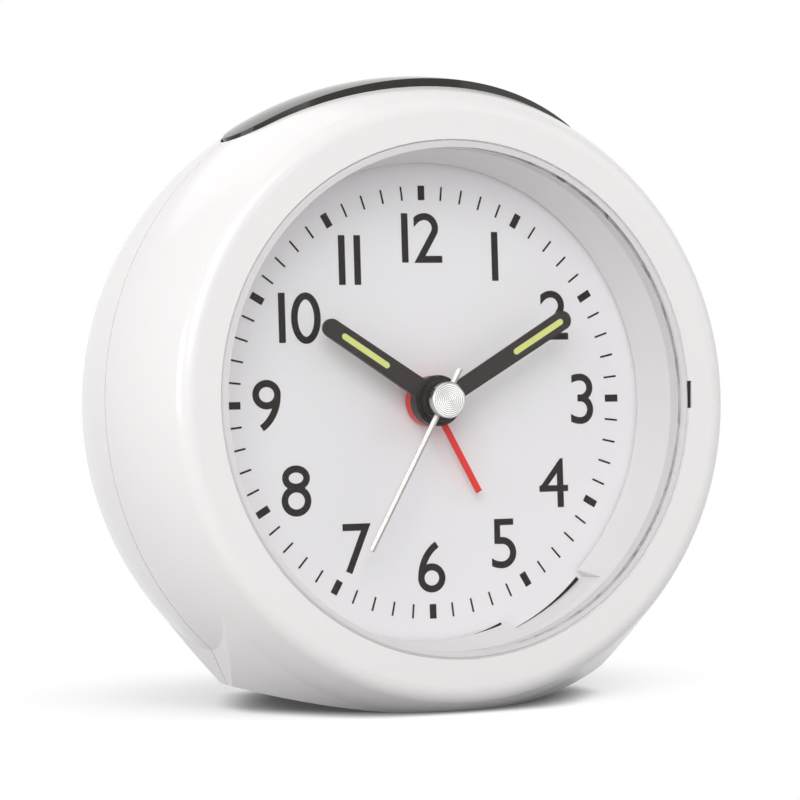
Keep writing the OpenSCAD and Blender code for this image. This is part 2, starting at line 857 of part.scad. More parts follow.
module cannon_pinion() {
    color("ivory") leaning() difference() {
        union() {
            rod(minute_tube_r, -minute_front + 0.1, y_centre + wheel_t + 0.2);
            slab(y_cannon - 0.1, y_cannon + wheel_t + 0.1) gear(cannon_n, motion_m);
        }
        rod(second_arbor_r + run_gap, -minute_front - 1, y_third);
    }
}

module motion_wheel() {
    color("ivory") leaning() at(motion_at) {
        rod(pivot_r, box_y - 0.6, y_hour);
        rod(arbor_d / 2, y_hour - 0.3, box_back + knob_h - 1);
        slab(y_cannon, y_cannon + wheel_t) gear(motion_n, motion_m, motion_phase);
        slab(y_hour - 0.1, y_cannon + 0.1) gear(motion_pinion_n, hour_m, hour_pinion_phase);
    }
}

module hour_wheel() {
    color("ivory") leaning() difference() {
        union() {
            rod(hour_tube_r, -hour_front + 0.1, y_hour + wheel_t);
            slab(y_hour, y_hour + wheel_t) gear(hour_n, hour_m);
        }
        rod(minute_tube_r + run_gap, -hour_front - 1, y_hour + wheel_t + 1);
    }
}

module alarm_wheel() {
    color("ivory") leaning() difference() {
        union() {
            rod(alarm_tube_r, -alarm_front + 0.1, y_alarm + wheel_t);
            slab(y_alarm, y_alarm + wheel_t) gear(alarm_n, alarm_m);
        }
        rod(hour_tube_r + run_gap, -alarm_front - 1, y_alarm + wheel_t + 1);
    }
}

module alarm_arbor() {
    color("ivory") leaning() at(alarm_arbor_at) {
        rod(pivot_r, box_y - 0.6, y_alarm);
        rod(arbor_d / 2, y_alarm, box_back + knob_h - 1);
        slab(y_alarm - 0.1, y_alarm + wheel_t + 0.1) gear(alarm_pinion_n, alarm_m, alarm_pinion_phase);
    }
}

// Fluted knob with a blind bore for its arbor
module knob(d) {
    flutes = round(2.2 * d);
    y0 = box_back + easy_gap;
    y1 = y0 + knob_h;
    difference() {
        union() {
            slab(y0, y1 - 0.6) polygon([for (i = [0 : 2 * flutes - 1])
                polar(d / 2 - (i % 2 == 0 ? 0 : 0.35), i * 180 / flutes)]);
            rod(d / 2 - 0.9, y1 - 0.7, y1);
        }
        rod(arbor_d / 2, y0 - 1, box_back + knob_h - 1);
    }
}

module time_knob() {
    color("dimgray") leaning() at(motion_at) knob(time_knob_d);
}

module alarm_knob() {
    color("dimgray") leaning() at(alarm_arbor_at) knob(alarm_knob_d);
}

// Alarm on and off: a slider in rails behind the panel, with a ribbed lever
switch_at = [-8.5, chamber_up - 5.3];

module alarm_switch() {
    color("black") leaning() at(switch_at) {
        translate([-4.5, panel_y - 1.6, -2.4]) cube([9, 1.4, 4.8]);
        translate([-2, panel_y - 0.4, -1.1]) cube([4, back_t + 1.9, 2.2]);
        for (x = [-1.6, -0.3, 1]) translate([x, box_back + 1.2, -1.1]) cube([0.6, 0.7, 2.2]);
    }
}

// Motor, circuit and sounder

coil_x = 5.5 - box_w / 2;
coil_z0 = 5.5;
coil_z1 = chamber_up - 4.3;
stator_y = y_magnet + 0.9;
stator_t = 0.8;
coil_y = stator_y + stator_t / 2;

stator_posts = [[coil_x, chamber_up - 1.8], rotor_at - [0, magnet_r + 1.4]];

module stator() {
    leg_x = rotor_at[0] + 2;
    color("slategray") leaning() slab(stator_y, stator_y + stator_t) difference() {
        union() {
            translate(rotor_at) circle(r = 5);
            translate([leg_x, rotor_at[1]]) square([1.8, chamber_up - 0.8 - rotor_at[1]]);
            translate([coil_x - 0.8, chamber_up - 2.8]) square([leg_x + 1.8 - coil_x + 0.8, 2]);
            translate([coil_x - 0.8, rotor_at[1]]) square([1.6, chamber_up - 0.8 - rotor_at[1]]);
        }
        translate(rotor_at) circle(r = magnet_r + 0.4);
    }
}

module drive_coil() {
    color("chocolate") leaning() difference() {
        translate([coil_x, coil_y, coil_z0]) {
            cylinder(r = 2.6, h = coil_z1 - coil_z0);
            for (z = [0, coil_z1 - coil_z0 - 0.7]) translate([0, 0, z]) cylinder(r = 3, h = 0.7);
        }
        translate([coil_x - 0.85, stator_y - 0.05, coil_z0 - 1])
            cube([1.7, stator_t + 0.1, coil_z1 - coil_z0 + 2]);
    }
}

board_y = y_fifth + 0.2;
board_t = 1;
board_posts = [[6, 1.8 - chamber_down], [box_w / 2 - 3.6, 1.8 - chamber_down],
    [box_w / 2 - 3.6, 0.6]];

module circuit_board() {
    color("darkgreen") leaning() {
        slab(board_y, board_y + board_t)
            rounded(3.4, box_w / 2 - box_wall - 0.4, 0.4 - chamber_down, 2.2, 0.8);
        at([14, -chamber_down / 2]) rod(2.4, board_y + board_t - 0.1, board_y + board_t + 1);
        translate([18.5, board_y + board_t - 0.1, 1.6 - chamber_down]) cube([2.2, 2, 5.6]);
    }
}

// Sounder: a shallow cup on the back panel, open to the sound holes
buzzer_r = 8.8;
buzzer_t = 2.6;
buzzer_wall = 1;
buzzer_front = panel_y - buzzer_t;
buzzer_at = [15, chamber_up - buzzer_r - 1.2];
sound_at = concat([buzzer_at], [for (a = [0 : 60 : 300]) buzzer_at + polar(3.6, a)]);

module buzzer() {
    color("goldenrod") leaning() at(buzzer_at) {
        difference() {
            rod(buzzer_r, buzzer_front, panel_y);
            rod(buzzer_r - buzzer_wall, buzzer_front + 0.8 * buzzer_wall, panel_y + 1);
        }
    }
}

// Battery, its contacts and door

battery_x1 = battery_l / 2;

module battery() {
    color("seagreen") leaning() translate([0, battery_y, battery_z]) rotate([0, 90, 0]) {
        translate([0, 0, -battery_x1]) cylinder(r = battery_d / 2, h = battery_l - 1.3);
        translate([0, 0, battery_x1 - 1.4]) cylinder(r = 2.7, h = 1.4);
    }
}

// Bent strips: a flat against the bay's end and a bowed tongue on the cell
module contact_sketch(bow) {
    polygon([[0, -5], [contact_t, -5], [contact_t, -3.2], [bow, -1.4], [bow, 1.4], [contact_t, 3.2],
        [contact_t, 5], [0, 5], [0, 3.2 - contact_t / 2], [bow - contact_t, 1.4 - contact_t / 2],
        [bow - contact_t, contact_t / 2 - 1.4], [0, contact_t / 2 - 3.2]]);
}

module contact() {
    translate([-battery_x1 - contact_room, 0, battery_z - 3])
        linear_extrude(height = 6) translate([0, battery_y]) contact_sketch(contact_room);
}

module contact_positive() {
    color("silver") leaning() mirror([1, 0, 0]) contact();
}

module contact_negative() {
    color("silver") leaning() contact();
}

module battery_door() {
    z0 = bay_z0 + 0.25;
    z1 = bay_z1 - 0.25;
    color("darkgray") leaning() difference() {
        union() {
            slab(box_back - door_t, box_back) rounded(-door_w / 2, door_w / 2, z0, z1, 1);
            for (x = [-14, 14]) translate([x - 0.5, battery_y + battery_d / 2 + 0.1, battery_z - 2])
                cube([1, box_back - door_t - battery_y - battery_d / 2, 4]);
        }
        for (x = [-4.5 : 1.5 : 4.5]) translate([x - 0.3, box_back - 0.5, battery_z - 3])
            cube([0.6, 1, 6]);
    }
}

front_case();
rear_cover();
lens();
dial_ring();
dial();
snooze_button();
snooze_switch();
hour_hand();
hour_lume();
minute_hand();
minute_lume();
second_hand();
second_cap();
alarm_hand();
movement_front();
movement_back();
train_plate();
movement_screws();
rotor();
fifth_wheel();
second_wheel();
third_wheel();
centre_wheel();
cannon_pinion();
motion_wheel();
hour_wheel();
alarm_wheel();
alarm_arbor();
time_knob();
alarm_knob();
alarm_switch();
stator();
drive_coil();
circuit_board();
buzzer();
battery();
contact_positive();
contact_negative();
battery_door();
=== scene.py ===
import json
import math

import bmesh
import bpy
from mathutils import Matrix, Vector


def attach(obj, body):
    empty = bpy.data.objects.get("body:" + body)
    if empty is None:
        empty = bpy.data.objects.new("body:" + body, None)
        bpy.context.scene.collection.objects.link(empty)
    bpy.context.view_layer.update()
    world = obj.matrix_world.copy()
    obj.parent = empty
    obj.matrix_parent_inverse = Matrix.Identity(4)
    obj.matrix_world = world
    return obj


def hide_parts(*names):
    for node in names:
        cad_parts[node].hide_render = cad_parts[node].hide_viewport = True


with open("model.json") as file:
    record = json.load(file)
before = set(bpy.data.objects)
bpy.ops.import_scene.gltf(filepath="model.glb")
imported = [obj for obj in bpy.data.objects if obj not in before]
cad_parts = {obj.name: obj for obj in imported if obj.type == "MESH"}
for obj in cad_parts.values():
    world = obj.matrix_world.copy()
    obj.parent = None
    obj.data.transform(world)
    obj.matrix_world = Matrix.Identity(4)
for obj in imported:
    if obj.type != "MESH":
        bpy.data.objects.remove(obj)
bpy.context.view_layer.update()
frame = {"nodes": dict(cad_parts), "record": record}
nodes = frame["nodes"]
print("frame loaded:", len(nodes), "nodes")

mm = 0.001

# the dial leans back; every dial piece is drawn in this leaning frame, in mm
dialFrame = {"lean": 3.9, "y": -8.0, "z": 44.0}
dialCentre = Vector((0, dialFrame["y"], dialFrame["z"])) * mm
leanMatrix = Matrix.Translation(dialCentre) @ Matrix.Rotation(-math.radians(dialFrame["lean"]), 4, "X")


def newPiece(name, mesh, body, material):
    piece = bpy.data.objects.new(name, mesh)
    bpy.context.scene.collection.objects.link(piece)
    piece.matrix_world = leanMatrix
    piece.data.materials.append(material)
    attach(piece, body)
    return piece


def meshFrom(bm, name):
    mesh = bpy.data.meshes.new(name)
    bm.to_mesh(mesh)
    bm.free()
    return mesh


def dialMesh(bm, name):
    # drawn in mm, kept in metres
    bmesh.ops.scale(bm, vec=(mm, mm, mm), verts=bm.verts)
    return meshFrom(bm, name)


# short forms for the nodes that come up again and again
def mathNode(tree, operation, *values):
    node = tree.nodes.new("ShaderNodeMath")
    node.operation = operation
    for socket, value in zip(node.inputs, values):
        if isinstance(value, (int, float)):
            socket.default_value = value
        else:
            tree.links.new(value, socket)
    return node.outputs["Value"]


def noiseNode(tree, coords, scale, detail):
    noise = tree.nodes.new("ShaderNodeTexNoise")
    noise.inputs["Scale"].default_value = scale
    noise.inputs["Detail"].default_value = detail
    tree.links.new(coords, noise.inputs["Vector"])
    return noise.outputs["Fac"]


def mixShaders(tree, share, first, second):
    blend = tree.nodes.new("ShaderNodeMixShader")
    tree.links.new(share, blend.inputs["Fac"])
    tree.links.new(first, blend.inputs[1])
    tree.links.new(second, blend.inputs[2])
    return blend.outputs["Shader"]


def objectCoords(tree):
    return tree.nodes.new("ShaderNodeTexCoord").outputs["Object"]


# what a finish has where its own dictionary says nothing else
plainLook = {"shift": 0.03, "driftScale": 60, "driftDetail": 3, "grain": 2500, "grainDetail": 4, "bump": 0.04,
             "bumpDepth": 0.00002, "metal": 0, "ior": 1.5, "coat": 0, "coatRough": 0.08, "aniso": 0}


def makeFinish(name, ownLook):
    look = dict(plainLook, **ownLook)
    mat = bpy.data.materials.new(name)
    mat.use_nodes = True
    tree = mat.node_tree
    shader = tree.nodes["Principled BSDF"]
    coords = objectCoords(tree)
    # broad drift of the colour, as moulding and handling leave it
    drift = noiseNode(tree, coords, look["driftScale"], look["driftDetail"])
    base = look["colour"]
    shift = look["shift"]
    tint = tree.nodes.new("ShaderNodeMix")
    tint.data_type = "RGBA"
    tint.inputs["A"].default_value = (*[c * (1 - shift) for c in base], 1)
    tint.inputs["B"].default_value = (*[min(1, c * (1 + shift)) for c in base], 1)
    tree.links.new(drift, tint.inputs["Factor"])
    tree.links.new(tint.outputs["Result"], shader.inputs["Base Color"])
    # fine grain drives roughness and a shallow bump
    grain = noiseNode(tree, coords, look["grain"], look["grainDetail"])
    low, high = look["rough"]
    gloss = tree.nodes.new("ShaderNodeMapRange")
    gloss.inputs["To Min"].default_value = low
    gloss.inputs["To Max"].default_value = high
    tree.links.new(grain, gloss.inputs["Value"])
    tree.links.new(gloss.outputs["Result"], shader.inputs["Roughness"])
    bump = tree.nodes.new("ShaderNodeBump")
    bump.inputs["Strength"].default_value = look["bump"]
    bump.inputs["Distance"].default_value = look["bumpDepth"]
    tree.links.new(grain, bump.inputs["Height"])
    tree.links.new(bump.outputs["Normal"], shader.inputs["Normal"])
    shader.inputs["Metallic"].default_value = look["metal"]
    shader.inputs["IOR"].default_value = look["ior"]
    shader.inputs["Coat Weight"].default_value = look["coat"]
    shader.inputs["Coat Roughness"].default_value = look["coatRough"]
    shader.inputs["Anisotropic"].default_value = look["aniso"]
    return mat


def repaint(mat, factor, colour, end):
    # the colour takes over the finish at one end of the factor: "A" where it is 0, "B" where it is 1
    tree = mat.node_tree
    shader = tree.nodes["Principled BSDF"]
    skin = shader.inputs["Base Color"].links[0].from_socket
    paint = tree.nodes.new("ShaderNodeMix")
    paint.data_type = "RGBA"
    paint.inputs[end].default_value = (*colour, 1)
    tree.links.new(factor, paint.inputs["Factor"])
    tree.links.new(skin, paint.inputs["B" if end == "A" else "A"])
    tree.links.new(paint.outputs["Result"], shader.inputs["Base Color"])


# one dictionary per finish
caseLook = {"colour": (0.85, 0.832, 0.828), "shift": 0.01, "rough": (0.17, 0.23), "grain": 1800,
            "bump": 0.015, "driftScale": 25}
buttonLook = {"colour": (0.019, 0.0165, 0.0125), "shift": 0.08, "rough": (0.06, 0.1), "grain": 2500,
              "bump": 0.02, "ior": 1.42}
ringLook = {"colour": (0.80, 0.78, 0.785), "shift": 0.015, "rough": (0.32, 0.42), "grain": 3000, "bump": 0.03}
dialLook = {"colour": (0.87, 0.855, 0.87), "shift": 0.012, "rough": (0.42, 0.52), "grain": 5000, "bump": 0.03}
printLook = {"colour": (0.027, 0.023, 0.022), "shift": 0.1, "rough": (0.38, 0.5), "grain": 7000,
             "bump": 0.05, "ior": 1.25}
handLook = {"colour": (0.034, 0.028, 0.0265), "shift": 0.12, "rough": (0.30, 0.42), "grain": 6000,
            "bump": 0.06, "ior": 1.35}
lumeLook = {"colour": (0.70, 0.74, 0.24), "shift": 0.05, "rough": (0.5, 0.65), "grain": 9000, "bump": 0.12,
            "driftScale": 900}
redLook = {"colour": (0.80, 0.022, 0.019), "shift": 0.05, "rough": (0.3, 0.4), "grain": 6000, "bump": 0.04}
silverLook = {"colour": (0.80, 0.80, 0.79), "shift": 0.04, "rough": (0.18, 0.3), "grain": 8000, "bump": 0.05,
              "metal": 1}
secondLook = {"colour": (0.50, 0.49, 0.475), "shift": 0.04, "rough": (0.3, 0.4), "grain": 8000, "bump": 0.05,
              "metal": 0.35}
movementLook = {"colour": (0.30, 0.30, 0.31), "shift": 0.05, "rough": (0.42, 0.58), "grain": 2600,
                "bump": 0.12}
gearLook = {"colour": (0.74, 0.72, 0.64), "shift": 0.03, "rough": (0.35, 0.5), "grain": 4000, "bump": 0.05}
steelLook = {"colour": (0.52, 0.52, 0.53), "shift": 0.06, "rough": (0.25, 0.38), "grain": 5000, "bump": 0.06,
             "metal": 1}
magnetLook = {"colour": (0.10, 0.10, 0.105), "shift": 0.1, "rough": (0.3, 0.45), "grain": 5000, "bump": 0.08,
              "metal": 0.6}
copperLook = {"colour": (0.50, 0.20, 0.08), "shift": 0.12, "rough": (0.2, 0.35), "grain": 9000, "bump": 0.25,
              "metal": 0.9}
boardLook = {"colour": (0.03, 0.16, 0.06), "shift": 0.12, "rough": (0.25, 0.4), "grain": 5000, "bump": 0.08}
brassLook = {"colour": (0.62, 0.45, 0.17), "shift": 0.06, "rough": (0.22, 0.35), "grain": 5000, "bump": 0.05,
             "metal": 1}
cellLook = {"colour": (0.06, 0.065, 0.07), "shift": 0.1, "rough": (0.25, 0.35), "grain": 3500, "bump": 0.03}
nickelLook = {"colour": (0.66, 0.65, 0.61), "shift": 0.04, "rough": (0.14, 0.26), "grain": 6000, "bump": 0.04,
              "metal": 1}
knobLook = {"colour": (0.035, 0.035, 0.036), "shift": 0.1, "rough": (0.36, 0.5), "grain": 4000, "bump": 0.1}

finishes = {
    "case_white": makeFinish("caseWhite", caseLook), "button_grey": makeFinish("buttonGloss", buttonLook),
    "ring_grey": makeFinish("ringGrey", ringLook), "dial_white": makeFinish("dialCard", dialLook),
    "hand_dark": makeFinish("handPaint", handLook), "lume": makeFinish("lumePaint", lumeLook),
    "hand_red": makeFinish("alarmRed", redLook), "hand_silver": makeFinish("secondSilver", secondLook),
    "cap_silver": makeFinish("capSilver", silverLook), "gear_white": makeFinish("gearPlastic", gearLook),
    "movement_grey": makeFinish("movementPlastic", movementLook),
    "screw_steel": makeFinish("screwSteel", steelLook), "stator_steel": makeFinish("statorSteel", steelLook),
    "magnet_dark": makeFinish("magnetDark", magnetLook), "coil_copper": makeFinish("coilWire", copperLook),
    "board_green": makeFinish("boardGreen", boardLook), "cell_skin": makeFinish("cellSkin", cellLook),
    "sounder_brass": makeFinish("sounderBrass", brassLook), "knob_dark": makeFinish("knobDark", knobLook),
    "contact_nickel": makeFinish("contactNickel", nickelLook),
}
printInk = makeFinish("dialInk", printLook)

# painted shade: the narrow slot at the bezel's edge is coloured near black inside, standing in for the shade
# deep in it; middle and half size in mm
slotShadeSet = {"middle": (37.6, -19.05, 44.73), "half": (0.14, 0.55, 2.1), "colour": (0.01, 0.01, 0.01)}


def paintSlotShade(mat):
    tree = mat.node_tree
    split = tree.nodes.new("ShaderNodeSeparateXYZ")
    tree.links.new(objectCoords(tree), split.inputs["Vector"])
    inside = 1
    for axis, mid, half in zip("XYZ", slotShadeSet["middle"], slotShadeSet["half"]):
        near = mathNode(tree, "COMPARE", split.outputs[axis], mid * mm, half * mm)
        inside = mathNode(tree, "MULTIPLY", inside, near)
    # painted shade: the case colour turns near black inside the slot's box
    repaint(mat, inside, slotShadeSet["colour"], "B")


paintSlotShade(finishes["case_white"])

# a thin window: light goes through it nearly straight, and its gloss is in the coat
# the rim's walls look milky from a radius in mm outwards
lensLook = {"colour": (0.985, 0.988, 0.99), "shift": 0.004, "rough": (0.0, 0.01), "grain": 700, "bump": 0.0,
            "ior": 1.03, "coat": 0.12, "coatRough": 0.02, "clear": (0.98, 0.98, 0.98),
            "rimFrom": 36.05, "rimShare": 0.9, "rimColour": (0.74, 0.72, 0.725)}


def rimMask(tree, radius):
    # 1 further from the dial's axis than the radius
    local = tree.nodes.new("ShaderNodeMapping")
    local.vector_type = "TEXTURE"
    local.inputs["Location"].default_value = leanMatrix.translation
    local.inputs["Rotation"].default_value = leanMatrix.to_euler()
    tree.links.new(objectCoords(tree), local.inputs["Vector"])
    flat = tree.nodes.new("ShaderNodeVectorMath")
    flat.operation = "MULTIPLY"
    flat.inputs[1].default_value = (1, 0, 1)
    tree.links.new(local.outputs["Vector"], flat.inputs[0])
    away = tree.nodes.new("ShaderNodeVectorMath")
    away.operation = "LENGTH"
    tree.links.new(flat.outputs["Vector"], away.inputs[0])
    return mathNode(tree, "GREATER_THAN", away.outputs["Value"], radius * mm)


def makeLens(name, look):
    mat = makeFinish(name, look)
    tree = mat.node_tree
    shader = tree.nodes["Principled BSDF"]
    shader.inputs["Transmission Weight"].default_value = 1
    milky = tree.nodes.new("ShaderNodeBsdfDiffuse")
    milky.inputs["Color"].default_value = (*look["rimColour"], 1)
    amount = mathNode(tree, "MULTIPLY", rimMask(tree, look["rimFrom"]), look["rimShare"])
    body = mixShaders(tree, amount, shader.outputs["BSDF"], milky.outputs["BSDF"])
    # light that falls on the dial passes the window straight
    clear = tree.nodes.new("ShaderNodeBsdfTransparent")
    clear.inputs["Color"].default_value = (*look["clear"], 1)
    path = tree.nodes.new("ShaderNodeLightPath")
    lit = mathNode(tree, "MAXIMUM", path.outputs["Is Shadow Ray"], path.outputs["Is Diffuse Ray"])
    window = mixShaders(tree, lit, body, clear.outputs["BSDF"])
    tree.links.new(window, tree.nodes["Material Output"].inputs["Surface"])
    return mat


finishes["lens_clear"] = makeLens("lensClear", lensLook)

for part in frame["record"]["subparts"]:
    obj = nodes[part["node"]]
    obj.data.materials.clear()
    obj.data.materials.append(finishes[part["material_slot"]])
print("finishes:", len(finishes))

# softened edges on the moulded and stamped parts, widths in mm, where two faces meet at more than the angle
edgeSet = {"segments": 3, "angle": 40}
edgeWidths = {
    "front_case": 0.25, "rear_cover": 0.25, "snooze_button": 0.45, "hour_hand": 0.12, "minute_hand": 0.12,
    "alarm_hand": 0.1, "hour_lume": 0.08, "minute_lume": 0.08, "time_knob": 0.2, "alarm_knob": 0.2,
    "alarm_switch": 0.2, "battery_door": 0.2, "movement_back": 0.2, "second_hand": 0.18,
}
for name, width in edgeWidths.items():
    bevel = nodes[name].modifiers.new("edge", "BEVEL")
    bevel.width = width * mm
    bevel.segments = edgeSet["segments"]
    bevel.limit_method = "ANGLE"
    bevel.angle_limit = math.radians(edgeSet["angle"])
print("edges softened:", len(edgeWidths))

# dial marks and numerals, printed just proud of the card; mitre limits how far a sharp corner runs out
printSet = {"stroke": 1.02, "depth": 0.03, "mitre": 0.35}


def ribbon(path, width, closed=False):
    # left and right edges of a stroke of even width, mitred at its corners
    pts = [Vector(p) for p in path]
    count = len(pts)
    left, right = [], []
    for i, p in enumerate(pts):
        dirs = []
        if i > 0 or closed:
            dirs.append((p - pts[i - 1]).normalized())
        if i < count - 1 or closed:
            dirs.append((pts[(i + 1) % count] - p).normalized())
        along = sum(dirs, Vector((0, 0))).normalized()
        side = Vector((-along.y, along.x))
        flat = Vector((-dirs[0].y, dirs[0].x))
        reach = width / 2 / max(printSet["mitre"], side.dot(flat))
        left.append(p + side * reach)
        right.append(p - side * reach)
    return left, right


def upright(edge, x):
    # the edge's first point moves onto an upright cut at x
    while edge[1].x < x:
        edge.pop(0)
    edge[0] = edge[0].lerp(edge[1], (x - edge[0].x) / (edge[1].x - edge[0].x))


def strokeOutline(path, cut=""):
    left, right = ribbon(path, printSet["stroke"])
    for edge in (left, right):
        if cut == "start":
            upright(edge, path[0][0])
        if cut == "end":
            edge.reverse()
            upright(edge, path[-1][0])
            edge.reverse()
    return left + right[::-1]


def printMesh(bm):
    bmesh.ops.recalc_face_normals(bm, faces=bm.faces)
    return meshFrom(bm, "print")


def plateMesh(outline):
    bm = bmesh.new()
    front = [bm.verts.new((x, -printSet["depth"], z)) for x, z in outline]
    back = [bm.verts.new((x, 0, z)) for x, z in outline]
    bm.faces.new(front)
    bm.faces.new(back[::-1])
    for k in range(len(outline)):
        n = (k + 1) % len(outline)
        bm.faces.new((front[k], back[k], back[n], front[n]))
    return printMesh(bm)


def ringMesh(path):
    left, right = ribbon(path, printSet["stroke"], True)
    bm = bmesh.new()
    rows = []
    for a, b in zip(left, right):
        corners = ((a, -printSet["depth"]), (b, -printSet["depth"]), (b, 0), (a, 0))
        rows.append([bm.verts.new((v.x, y, v.y)) for v, y in corners])
    for r0, r1 in zip(rows, rows[1:] + rows[:1]):
        for k in range(4):
            n = (k + 1) % 4
            bm.faces.new((r0[k], r0[n], r1[n], r1[k]))
    return printMesh(bm)


def arc(cx, cy, rx, ry, start, end, steps=28):
    turn = [math.radians(start + (end - start) * i / steps) for i in range(steps + 1)]
    return [(cx + rx * math.cos(t), cy + ry * math.sin(t)) for t in turn]


def oval(cx, cy, rx, ry):
    return ringMesh(arc(cx, cy, rx, ry, 0, 360, 60)[:-1])


def bar(x0, x1, y0, y1):
    return plateMesh([(x0, y0), (x1, y0), (x1, y1), (x0, y1)])


# the shapes of each digit, in mm about its own middle; bowls open to the left end on upright cuts
def digitShapes(digit):
    if digit == "0":
        return [oval(0, 0, 1.81, 3.19)]
    if digit == "1":
        return [bar(-0.525, 0.525, -3.6, 3.6)]
    if digit == "2":
        crook = arc(-0.4, -1.63, 3.0, 4.77, 124.7, 90, 12)[:-1] + arc(-0.4, 1.45, 1.7, 1.69, 90, -22)
        return [plateMesh(strokeOutline(crook + [(-1.25, -3.12), (2.36, -3.12)], "start"))]
    if digit == "3":
        upper = arc(-0.1, 1.9, 2.46, 1.55, 125, 90, 10)[:-1] + arc(-0.1, 1.9, 1.57, 1.55, 90, -90)
        lower = arc(-0.1, -1.335, 1.6, 1.675, 90, -90)[:-1] + arc(-0.1, -1.335, 2.43, 1.675, -90, -132.5, 12)
        return [plateMesh(strokeOutline(upper + [(-0.57, 0.35)], "start")),
                plateMesh(strokeOutline([(-0.57, 0.34)] + lower, "end"))]
    if digit == "4":
        return [bar(0.68, 1.72, -3.78, 2.9), bar(-2.28, 2.49, -1.43, -0.5),
                plateMesh([(-2.28, -1.1), (-1.35, -1.1), (0.9, 1.55), (1.72, 2.5), (1.72, 3.47), (1.28, 3.47),
                           (-2.28, -0.86)])]
    if digit == "5":
        bowl = arc(-0.3, -1.355, 1.84, 1.795, 90, -90, 34)[:-1]
        bowl += arc(-0.3, -1.355, 2.55, 1.795, -90, -131, 12)
        return [bar(-1.45, 1.7, 2.68, 3.61),
                plateMesh([(-1.49, -0.05), (-0.52, -0.05), (-0.49, 3.2), (-1.45, 3.2)]),
                plateMesh(strokeOutline([(-1.0, 0.43)] + bowl, "end"))]
    if digit == "6":
        return [oval(0.05, -1.92, 1.69, 1.61),
                plateMesh(strokeOutline(arc(3.61, -1.92, 5.23, 5.6, 180, 119.8)))]
    if digit == "7":
        return [plateMesh(strokeOutline([(-1.87, 2.87), (1.81, 2.87), (-1.02, -3.67)]))]
    if digit == "8":
        return [oval(0.05, 1.8, 1.65, 1.31), oval(0.03, -1.47, 1.81, 1.73)]
    return [oval(0.24, 1.33, 1.69, 1.6), plateMesh(strokeOutline(arc(-3.32, 1.33, 5.23, 5.6, 0, -59)))]


def fuseShapes(meshes):
    # overlapping shapes become one clean print
    parts = []
    for mesh in meshes:
        part = bpy.data.objects.new("printPart", mesh)
        bpy.context.scene.collection.objects.link(part)
        parts.append(part)
    for other in parts[1:]:
        join = parts[0].modifiers.new("join", "BOOLEAN")
        join.operation = "UNION"
        join.solver = "EXACT"
        join.object = other
    bpy.context.view_layer.update()
    done = parts[0].evaluated_get(bpy.context.evaluated_depsgraph_get())
    mesh = bpy.data.meshes.new_from_object(done)
    for part in parts:
        bpy.data.objects.remove(part)
    return mesh


# middle of each digit on the dial, in mm right of and above the centre
digitPlaces = (
    ("1", -2.73, 23.86), ("2", 0.88, 23.85), ("1", 11.84, 21.15), ("2", 21.3, 12.4), ("3", 25.5, -0.3),
    ("4", 20.4, -12.3), ("5", 11.9, -21.1), ("6", 0, -23.8), ("7", -12.1, -20.8), ("8", -21.1, -12.4),
    ("9", -25.5, 0.1), ("1", -22.54, 12.38), ("0", -18.79, 12.31), ("1", -12.88, 20.65), ("1", -10.42, 20.65),
)


def gather(bm, mesh):
    bm.from_mesh(mesh)
    bpy.data.meshes.remove(mesh)


def numeralMesh():
    bm = bmesh.new()
    for digit, x, z in digitPlaces:
        mesh = fuseShapes(digitShapes(digit))
        mesh.transform(Matrix.Translation((x, 0, z)))
        gather(bm, mesh)
    return dialMesh(bm, "hourNumerals")


newPiece("hourNumerals", numeralMesh(), "case", printInk)
print("numerals printed")

# radii and widths in mm; every fifth mark is an hour's
marks = {"inner": 29.5, "outer": 31.57, "minuteWidth": 0.28, "hourWidth": 1.06, "hourInner": 29.45,
         "middle": (0.1, -0.07), "count": 60, "perHour": 5}


def markMesh():
    bm = bmesh.new()
    for i in range(marks["count"]):
        hour = i % marks["perHour"] == 0
        wide = marks["hourWidth"] if hour else marks["minuteWidth"]
        r0 = marks["hourInner"] if hour else marks["inner"]
        turn = Matrix.Rotation(2 * math.pi * i / marks["count"], 3, "Y")
        box = bmesh.ops.create_cube(bm, size=1)["verts"]
        bmesh.ops.scale(bm, vec=(wide, printSet["depth"], marks["outer"] - r0), verts=box)
        bmesh.ops.translate(bm, vec=(0, -printSet["depth"] / 2, (r0 + marks["outer"]) / 2), verts=box)
        bmesh.ops.rotate(bm, cent=(0, 0, 0), matrix=turn, verts=box)
    bmesh.ops.translate(bm, vec=(marks["middle"][0], 0, marks["middle"][1]), verts=bm.verts)
    return dialMesh(bm, "minuteMarks")


newPiece("minuteMarks", markMesh(), "case", printInk)
print("minute marks printed")

# painted shadow: dark crescents printed on the card stand in for the shade in the gaps where it meets the
# ring, at the recess and left of it; radius, angles and widest width in mm
# each thins out to its tip
gapShadowSet = {"gapShadows": ((36.2, -48, -71, 0.6), (34.98, -71.3, -84, 0.5)), "tip": 0.03, "taper": 1.6}
gapShadowLook = {"colour": (0.03, 0.021, 0.02), "shift": 0.1, "rough": (0.5, 0.6), "grain": 5000, "bump": 0.03,
           "ior": 1.2}


def crescent(radius, start, end, wide):
    outer = arc(0, 0, radius, radius, start, end)
    last = len(outer) - 1
    tip = gapShadowSet["tip"]
    inner = []
    for i, (x, z) in enumerate(outer):
        thin = 1 - (tip + (wide - tip) * (1 - i / last) ** gapShadowSet["taper"]) / radius
        inner.append((x * thin, z * thin))
    return plateMesh(outer + inner[::-1])


def gapShadowMesh():
    bm = bmesh.new()
    for gap in gapShadowSet["gapShadows"]:
        gather(bm, crescent(*gap))
    return dialMesh(bm, "ringGapShadows")


# painted shadow: the crescents stay dark under any lamp, standing in for the shade in the gaps
newPiece("ringGapShadows", gapShadowMesh(), "case", makeFinish("gapShade", gapShadowLook))
print("ring gaps drawn")
